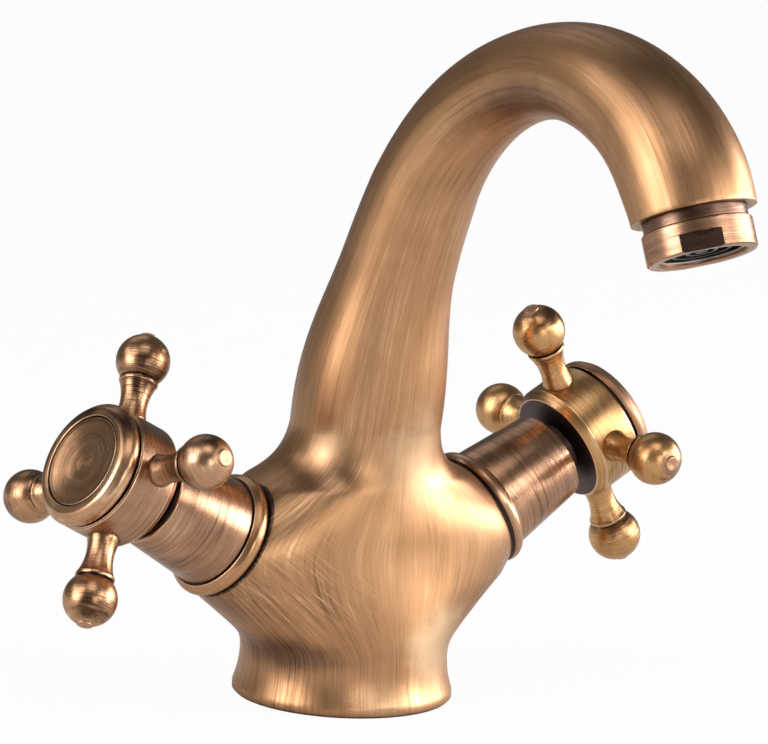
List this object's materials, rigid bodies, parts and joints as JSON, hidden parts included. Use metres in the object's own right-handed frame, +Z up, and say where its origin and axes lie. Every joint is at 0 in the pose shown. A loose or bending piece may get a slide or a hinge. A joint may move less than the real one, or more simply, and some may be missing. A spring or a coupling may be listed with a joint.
{
  "type": "cross handle basin tap",
  "caption": "Deck-mounted basin mixer tap with a swan-neck spout, two sloping arms, quarter-turn cross handles with ball-ended spokes, and an aerator.",
  "frame": {"origin": "centre of the round foot's underside, where the tap stands on the basin", "axes": "+Z up, the spout reaches towards -Y, the hot arm points to -X and the cold arm to +X"},
  "size_m": [0.1638, 0.1596, 0.1605],
  "materials": {
    "antique_brass": "antiqued brass, brushed, clear lacquer",
    "antique_bronze": "antiqued brass with a pinker, darker bronze tone, brushed",
    "raw_brass": "machined brass",
    "steel": "stainless steel",
    "ceramic": "lapped alumina ceramic",
    "fibre": "vulcanised fibre",
    "black_rubber": "EPDM rubber",
    "dark_plastic": "moulded dark plastic"
  },
  "bodies": {
    "body": {"body_casting": "antique_brass", "base_gasket": "black_rubber", "aerator_housing": "antique_bronze", "aerator_insert": "dark_plastic", "aerator_screen": "steel", "aerator_washer": "black_rubber", "left_flange_gasket": "fibre", "left_cartridge_body": "raw_brass", "left_seat_seal": "black_rubber", "left_fixed_disc": "ceramic", "left_slide_washer": "fibre", "left_collar_ring": "antique_brass", "left_bonnet_sleeve": "antique_bronze", "right_flange_gasket": "fibre", "right_cartridge_body": "raw_brass", "right_seat_seal": "black_rubber", "right_fixed_disc": "ceramic", "right_slide_washer": "fibre", "right_collar_ring": "antique_brass", "right_bonnet_sleeve": "antique_bronze"},
    "left_handle": {"left_moving_disc": "ceramic", "left_spindle": "raw_brass", "left_spindle_o_rings": "black_rubber", "left_stop_ring": "raw_brass", "left_spindle_clip": "steel", "left_handle_hub": "antique_bronze", "left_handle_screw": "steel", "left_index_ring": "antique_bronze", "left_index_disc": "antique_bronze", "left_spoke_1": "antique_bronze", "left_spoke_2": "antique_bronze", "left_spoke_3": "antique_bronze", "left_spoke_4": "antique_bronze"},
    "right_handle": {"right_moving_disc": "ceramic", "right_spindle": "raw_brass", "right_spindle_o_rings": "black_rubber", "right_stop_ring": "raw_brass", "right_spindle_clip": "steel", "right_handle_hub": "antique_brass", "right_handle_screw": "steel", "right_index_ring": "antique_brass", "right_index_disc": "antique_brass", "right_spoke_1": "antique_brass", "right_spoke_2": "antique_brass", "right_spoke_3": "antique_brass", "right_spoke_4": "antique_brass"}
  },
  "joints": [
    {"name": "left_handle_turn", "type": "hinge", "parent": "body", "child": "left_handle", "pos_m": [-0.06322, 0, 0.05385], "axis": [-0.8829, 0, 0.4695], "range_deg": [0, 90]},
    {"name": "right_handle_turn", "type": "hinge", "parent": "body", "child": "right_handle", "pos_m": [0.06322, 0, 0.05385], "axis": [0.8829, 0, 0.4695], "range_deg": [-90, 0]}
  ]
}
